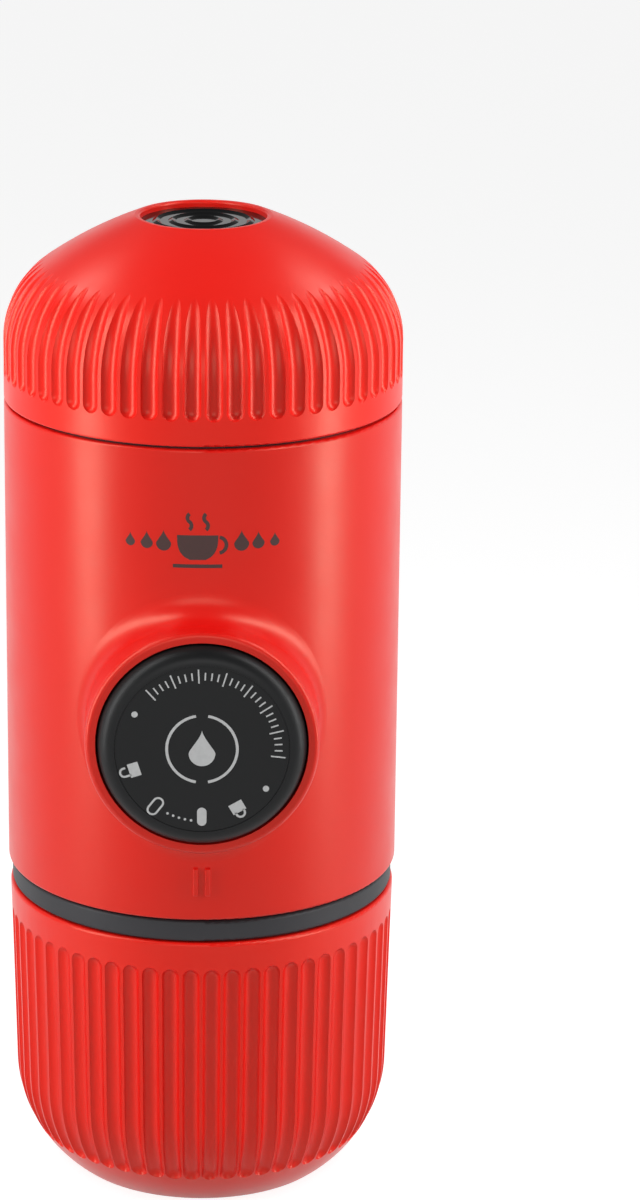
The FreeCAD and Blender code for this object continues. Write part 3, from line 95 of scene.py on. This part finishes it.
class Finish:
    """A node material on Object coordinates, built up by a few plain calls."""

    def __init__(self, name, roughness, metallic=0.0):
        self.material = bpy.data.materials.new(name)
        self.material.use_nodes = True
        self.tree = self.material.node_tree
        self.shader = self.tree.nodes["Principled BSDF"]
        self.shader.inputs["Metallic"].default_value = metallic
        self.shader.inputs["Roughness"].default_value = roughness
        self.place = self.tree.nodes.new("ShaderNodeTexCoord").outputs["Object"]

    def link(self, output, socket):
        """Join an output to a socket of the tree."""
        self.tree.links.new(output, socket)

    def noise(self, scale, detail=2.0, stretch=None):
        """Noise whose features are about 1 / scale metres wide."""
        node = self.tree.nodes.new("ShaderNodeTexNoise")
        node.inputs["Scale"].default_value = scale
        node.inputs["Detail"].default_value = detail
        place = self.place
        if stretch:
            mapping = self.tree.nodes.new("ShaderNodeMapping")
            mapping.inputs["Scale"].default_value = stretch
            self.link(place, mapping.inputs["Vector"])
            place = mapping.outputs["Vector"]
        self.link(place, node.inputs["Vector"])
        return node.outputs["Fac"]

    def spread(self, factor, low, high):
        """Spread a 0 to 1 factor over a range of values."""
        node = self.tree.nodes.new("ShaderNodeMapRange")
        node.inputs["From Min"].default_value = 0.3
        node.inputs["From Max"].default_value = 0.7
        node.inputs["To Min"].default_value = low
        node.inputs["To Max"].default_value = high
        self.link(factor, node.inputs["Value"])
        return node.outputs["Result"]

    def tint(self, factor, first, second):
        """Colour that wanders between two tints."""
        node = self.tree.nodes.new("ShaderNodeMix")
        node.data_type = "RGBA"
        node.inputs["A"].default_value = first
        node.inputs["B"].default_value = second
        self.link(factor, node.inputs["Factor"])
        self.link(node.outputs["Result"], self.shader.inputs["Base Color"])

    def rough(self, factor, low, high):
        """Roughness that wanders between two values."""
        self.link(self.spread(factor, low, high), self.shader.inputs["Roughness"])

    def bump(self, factor, depth):
        """Relief of a depth in metres."""
        node = self.tree.nodes.new("ShaderNodeBump")
        node.inputs["Strength"].default_value = 1.0
        node.inputs["Distance"].default_value = depth
        self.link(factor, node.inputs["Height"])
        self.link(node.outputs["Normal"], self.shader.inputs["Normal"])


def moulded(name, first, second, roughness, grain, specular, gleam=NEUTRAL):
    """Moulded plastic: slow drift of tint and sheen, and a fine grain with its depth in mm."""
    finish = Finish(name, roughness)
    finish.shader.inputs["Specular IOR Level"].default_value = specular
    finish.shader.inputs["Specular Tint"].default_value = gleam
    drift = 0.03
    finish.tint(finish.noise(45, 3), first, second)
    finish.rough(finish.noise(160, 4), roughness - drift, roughness + drift)
    finish.bump(finish.noise(3500, 2), grain * MM)
    return finish.material


def brushed_steel(name):
    """Steel with fine lathe lines round Z."""
    finish = Finish(name, 0.28, metallic=1.0)
    finish.tint(finish.noise(120, 3), colour(196, 196, 198), colour(222, 222, 224))
    lines = finish.noise(400, 2, stretch=(1, 1, 14))
    finish.rough(lines, 0.22, 0.36)
    finish.bump(lines, 0.003 * MM)
    return finish.material


def silicone(name):
    """Soft translucent grey rubber."""
    finish = Finish(name, 0.55)
    finish.shader.inputs["Subsurface Weight"].default_value = 0.1
    finish.shader.inputs["Subsurface Scale"].default_value = 1.0 * MM
    finish.tint(finish.noise(90, 2), colour(176, 176, 178), colour(198, 198, 200))
    finish.bump(finish.noise(2600, 2), 0.004 * MM)
    return finish.material


def ink(name, first, second):
    """Printed ink with a slightly uneven film."""
    finish = Finish(name, 0.5)
    finish.tint(finish.noise(1500, 3), first, second)
    finish.bump(finish.noise(5000, 2), 0.002 * MM)
    return finish.material


def make_finishes():
    """Every material of the maker, by the name of its slot."""
    return {
        "satin_red": moulded(
            "satin_red", colour(215, 14, 10), colour(220, 17, 12), 0.33, 0.003, 0.5, WARM),
        "fluted_red": moulded(
            "fluted_red", colour(227, 20, 13), colour(232, 24, 16), 0.33, 0.004, 0.46, WARM),
        "black_satin": moulded(
            "black_satin", colour(15, 16, 17), colour(19, 20, 21), 0.4, 0.004, 0.22),
        "black_plastic": moulded(
            "black_plastic", colour(24, 24, 26), colour(30, 30, 32), 0.5, 0.006, 0.4),
        "black_gloss": moulded(
            "black_gloss", colour(6, 6, 7), colour(9, 9, 10), 0.07, 0.0005, 0.2),
        "dark_grey": moulded(
            "dark_grey", colour(44, 44, 47), colour(50, 50, 53), 0.5, 0.006, 0.3),
        "steel": brushed_steel("steel"),
        "silicone": silicone("silicone"),
    }


def dress_nodes(finishes):
    """Give each CAD node the finish of its slot."""
    slots = {part["node"]: part["material_slot"] for part in frame["record"]["subparts"]}
    for name, node in frame["nodes"].items():
        node.data.materials.clear()
        node.data.materials.append(finishes[slots[name]])


def turn_in_plane(bm, verts, angle, shift=(0, 0)):
    """Turn flat geometry about Z and move it in its plane."""
    bmesh.ops.rotate(bm, verts=verts, cent=(0, 0, 0), matrix=Matrix.Rotation(angle, 3, "Z"))
    bmesh.ops.translate(bm, verts=verts, vec=(shift[0], shift[1], 0))


def add_disc(bm, centre, radius, segments=24):
    """Filled dot."""
    made = bmesh.ops.create_circle(bm, cap_ends=True, radius=radius, segments=segments)["verts"]
    bmesh.ops.translate(bm, verts=made, vec=(centre[0], centre[1], 0))


def add_pill(bm, centre, half_length, radius, angle):
    """Filled pill, long along Y before it is turned."""
    made = bmesh.ops.create_circle(bm, cap_ends=True, radius=radius, segments=32)["verts"]
    for vert in made:
        vert.co.y += math.copysign(half_length - radius, vert.co.y)
    turn_in_plane(bm, made, angle, centre)


def add_arc(bm, centre, radius, width, start, sweep, steps=24):
    """Flat band along an arc, from a start angle through a sweep."""
    made = bmesh.ops.create_grid(bm, x_segments=steps, y_segments=1, size=0.5)["verts"]
    for vert in made:
        angle = start + sweep * (vert.co.x + 0.5)
        reach = radius + width * vert.co.y
        vert.co = Vector((reach * math.cos(angle), reach * math.sin(angle), 0))
    turn_in_plane(bm, made, 0, centre)
    return made


def add_bar(bm, start, end, width, cuts=0):
    """Straight band with square ends between two points."""
    start, end = Vector(start), Vector(end)
    run = end - start
    made = bmesh.ops.create_grid(bm, x_segments=cuts + 1, y_segments=1, size=0.5)["verts"]
    bmesh.ops.scale(bm, verts=made, vec=(run.length, width, 1))
    turn_in_plane(bm, made, math.atan2(run.y, run.x), (start + end) / 2)
    return made


def add_drop(bm, centre, radius):
    """Filled drop of liquid with its point up."""
    made = bmesh.ops.create_circle(bm, cap_ends=True, radius=radius, segments=48)["verts"]
    for vert in made:
        up = max(vert.co.y / radius, 0)
        vert.co.x *= 1 - up ** 1.6
        vert.co.y += radius * 0.85 * up ** 2
    turn_in_plane(bm, made, 0, centre)


def add_pill_outline(bm, centre, half_length, radius, band, angle):
    """Pill drawn as a line of one width, long along Y before it is turned."""
    straight = half_length - radius
    made = add_arc(bm, (0, straight), radius, band, 0, math.pi, steps=14)
    made += add_arc(bm, (0, -straight), radius, band, math.pi, math.pi, steps=14)
    for side in (-radius, radius):
        made += add_bar(bm, (side, -straight), (side, straight), band)
    turn_in_plane(bm, made, angle, centre)


def add_padlock(bm, centre, size, angle, opened):
    """Small padlock sign: a filled body with a closed or raised shackle."""
    foot = 0.3 * size
    lift = (0.7 if opened else 0.45) * size
    side = 0.3 * size
    band = 0.15 * size
    made = add_bar(bm, (-size / 2, 0), (size / 2, 0), 0.75 * size)
    made += add_arc(bm, (0, lift), side, band, 0, math.pi, steps=14)
    made += add_bar(bm, (-side, foot), (-side, lift), band)
    open_end = lift - band if opened else foot
    made += add_bar(bm, (side, open_end), (side, lift), band)
    turn_in_plane(bm, made, angle, centre)


def add_cup_sign(bm, centre, size):
    """Small cup with a handle, a saucer and two curls of steam."""
    made = bmesh.ops.create_grid(bm, x_segments=12, y_segments=10, size=0.5)["verts"]
    depth = 0.62 * size
    for vert in made:
        down = 0.5 - vert.co.y
        vert.co.x *= size * math.sqrt(1 - 0.85 * down ** 3)
        vert.co.y = -depth * down
    line = 0.09 * size
    handle = (0.5 * size, -0.4 * depth)
    made += add_arc(bm, handle, 0.2 * size, line, -1.4, 2.8, steps=14)
    saucer = 0.6 * size
    below = -0.78 * size
    made += add_bar(bm, (-saucer, below), (saucer, below), line, cuts=12)
    curl = 0.13 * size
    for side in (-1, 1):
        x = 0.2 * side * size
        lower = (x - 0.6 * curl, 0.24 * size)
        upper = (x + 0.64 * curl, 0.44 * size)
        made += add_arc(bm, lower, curl, line, -0.9, 1.8, steps=8)
        made += add_arc(bm, upper, curl, line, math.pi - 0.9, 1.8, steps=8)
    turn_in_plane(bm, made, 0, centre)


def finish_marks(bm, name, material, body, place):
    """Give flat marks the thickness of ink, put each point in place and make the object."""
    faces = list(bm.faces)
    bmesh.ops.recalc_face_normals(bm, faces=faces)
    made = bmesh.ops.extrude_face_region(bm, geom=faces)["geom"]
    top = [item for item in made if isinstance(item, bmesh.types.BMVert)]
    bmesh.ops.translate(bm, verts=top, vec=(0, 0, INK + INK_SUNK))
    bmesh.ops.translate(bm, verts=bm.verts, vec=(0, 0, -INK_SUNK))
    for vert in bm.verts:
        vert.co = place(vert.co)
    bmesh.ops.recalc_face_normals(bm, faces=bm.faces)
    mesh = bpy.data.meshes.new(name)
    bm.to_mesh(mesh)
    bm.free()
    mesh.materials.append(material)
    piece = bpy.data.objects.new(name, mesh)
    bpy.context.scene.collection.objects.link(piece)
    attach(piece, body)


def on_knob(point):
    """From the print's flat plane to the knob's face, which looks along -Y."""
    return Vector((point.x, FACE_Y - point.z, KNOB_HEIGHT + point.y))


def on_body(height):
    """From the print's flat plane to the round front of the body, at a height."""
    def place(point):
        angle = point.x / BODY_RADIUS
        radius = BODY_RADIUS + point.z
        return Vector((radius * math.sin(angle), -radius * math.cos(angle), height + point.y))
    return place


def clock(hour, radius):
    """Point on the knob's face at an hour of the clock."""
    angle = math.radians(90 - 30 * hour)
    return (radius * math.cos(angle), radius * math.sin(angle))


def make_knob_print(material):
    """Ring of pills, dots, padlocks and ticks, and a plain drop in the middle."""
    bm = bmesh.new()
    add_pill(bm, clock(6, PILL_RING), 1.45 * MM, 0.72 * MM, 0)
    for step in range(5):
        add_disc(bm, clock(6.27 + 0.155 * step, DOT_RING), 0.2 * MM, segments=12)
    open_hour = 7.25
    angle = math.radians(180 - 30 * open_hour)
    add_pill_outline(bm, clock(open_hour, DOT_RING), 1.45 * MM, 0.75 * MM, 0.3 * MM, angle)
    for hour in (4.1, 9.95):
        add_disc(bm, clock(hour, DOT_RING), 0.48 * MM)
    padlock = 2.2 * MM
    add_padlock(bm, clock(5.0, PADLOCK_RING), padlock, math.radians(-150), False)
    add_padlock(bm, clock(8.4, PADLOCK_RING), padlock, math.radians(108), True)
    ticks = 29
    first_hour, last_hour = 10.6, 15.2
    for step in range(ticks):
        hour = first_hour + (last_hour - first_hour) * step / (ticks - 1)
        reach = 1.1 * MM if step % 4 == 0 else 0.6 * MM
        add_bar(bm, clock(hour, DOT_RING - reach), clock(hour, DOT_RING + reach), 0.22 * MM)
    for start in (100, 280):
        add_arc(bm, (0, 0), DROP_RING, 0.42 * MM, math.radians(start), math.radians(160), steps=40)
    add_drop(bm, (0, -0.7 * MM), 2.0 * MM)
    finish_marks(bm, "knob_print", material, "knob", on_knob)


def make_body_print(material):
    """Cup sign between two rows of drops, where such makers carry a print."""
    bm = bmesh.new()
    add_cup_sign(bm, (-0.75 * MM, 0.5 * MM), 6.2 * MM)
    for side in (-1, 1):
        for step in range(3):
            across = (5.9 + 2.6 * step) * side * MM
            radius = (1.15 - 0.2 * step) * MM
            add_drop(bm, (across, -0.9 * MM), radius)
    finish_marks(bm, "body_print", material, "main", on_body(BODY_PRINT_HEIGHT))


def make_camera():
    """Camera at the photograph's place and angle."""
    data = bpy.data.cameras.new("camera")
    data.lens = CAMERA_LENS
    data.sensor_width = 36
    data.sensor_fit = "AUTO"
    data.shift_x = CAMERA_SHIFT
    data.clip_start = 0.01
    camera = bpy.data.objects.new("camera", data)
    bpy.context.scene.collection.objects.link(camera)
    tilt = Matrix.Rotation(math.pi / 2 - CAMERA_DOWN, 4, "X")
    turn = Matrix.Rotation(CAMERA_YAW, 4, "Z")
    roll = Matrix.Rotation(CAMERA_ROLL, 4, "Z")
    camera.matrix_world = Matrix.Translation(CAMERA_PLACE) @ turn @ tilt @ roll
    bpy.context.scene.camera = camera


def make_floor():
    """Plain pale floor inside a low round wall, near white where it is seen directly."""
    bm = bmesh.new()
    bmesh.ops.create_grid(bm, x_segments=1, y_segments=1, size=FLOOR_REACH)
    bmesh.ops.create_cone(bm, cap_ends=False, segments=96, radius1=FLOOR_REACH,
                          radius2=FLOOR_REACH, depth=2 * WALL_HEIGHT)
    mesh = bpy.data.meshes.new("floor")
    bm.to_mesh(mesh)
    bm.free()
    floor = bpy.data.objects.new("floor", mesh)
    bpy.context.scene.collection.objects.link(floor)
    finish = Finish("floor", 0.9)
    finish.tint(finish.noise(3, 2), colour(168, 168, 168), colour(172, 172, 172))
    finish.shader.inputs["Specular IOR Level"].default_value = 0.0
    finish.shader.inputs["Emission Color"].default_value = (1, 1, 1, 1)
    finish.link(seen_directly(finish.tree, FLOOR_LIFT), finish.shader.inputs["Emission Strength"])
    mesh.materials.append(finish.material)


def seen_directly(tree, seen):
    """A value for camera, glossy and transmission rays, and zero for all other rays."""
    path = tree.nodes.new("ShaderNodeLightPath")
    total = None
    for name in ("Is Camera Ray", "Is Glossy Ray", "Is Transmission Ray"):
        if total is None:
            total = path.outputs[name]
            continue
        most = tree.nodes.new("ShaderNodeMath")
        most.operation = "MAXIMUM"
        tree.links.new(total, most.inputs[0])
        tree.links.new(path.outputs[name], most.inputs[1])
        total = most.outputs["Value"]
    level = tree.nodes.new("ShaderNodeMapRange")
    level.inputs["To Max"].default_value = seen
    tree.links.new(total, level.inputs["Value"])
    return level.outputs["Result"]


def area_light(name, place, size, power, aim):
    """Soft rectangular lamp that looks at a point of the maker, all in millimetres."""
    data = bpy.data.lights.new(name, "AREA")
    data.shape = "RECTANGLE"
    data.size = size[0] * MM
    data.size_y = size[1] * MM
    data.energy = power
    lamp = bpy.data.objects.new(name, data)
    bpy.context.scene.collection.objects.link(lamp)
    place = Vector(place) * MM
    lamp.location = place
    lamp.rotation_euler = (Vector(aim) * MM - place).to_track_quat("-Z", "Y").to_euler()
    lamp.visible_camera = False


def make_light():
    """Tall soft lamps close to the sides, two high behind, one in front and an even sky."""
    body_middle = (0, 0, 110)
    area_light("lamp_left", (-171, -83, 175), (56, 340), 0.46, body_middle)
    area_light("lamp_right", (181, -59, 175), (56, 340), 0.46, body_middle)
    tank_middle = (0, 0, 140)
    area_light("lamp_high_left", (-250, 190, 450), (90, 90), 0.22, tank_middle)
    area_light("lamp_high_right", (250, 190, 450), (90, 90), 0.22, tank_middle)
    cup_top = (0, 0, 60)
    area_light("lamp_front", (0, -620, 260), (500, 260), 0.88, cup_top)
    world = bpy.data.worlds.new("studio")
    world.use_nodes = True
    background = world.node_tree.nodes["Background"]
    background.inputs["Color"].default_value = (1, 1, 1, 1)
    background.inputs["Strength"].default_value = SKY_LEVEL
    bpy.context.scene.world = world


def main():
    make_camera()
    make_floor()
    make_light()
    bpy.context.scene.view_settings.view_transform = "Standard"
    finishes = make_finishes()
    dress_nodes(finishes)
    make_knob_print(ink("pale_ink", colour(186, 188, 188), colour(204, 205, 205)))
    make_body_print(ink("dark_ink", colour(48, 20, 16), colour(58, 24, 20)))


main()
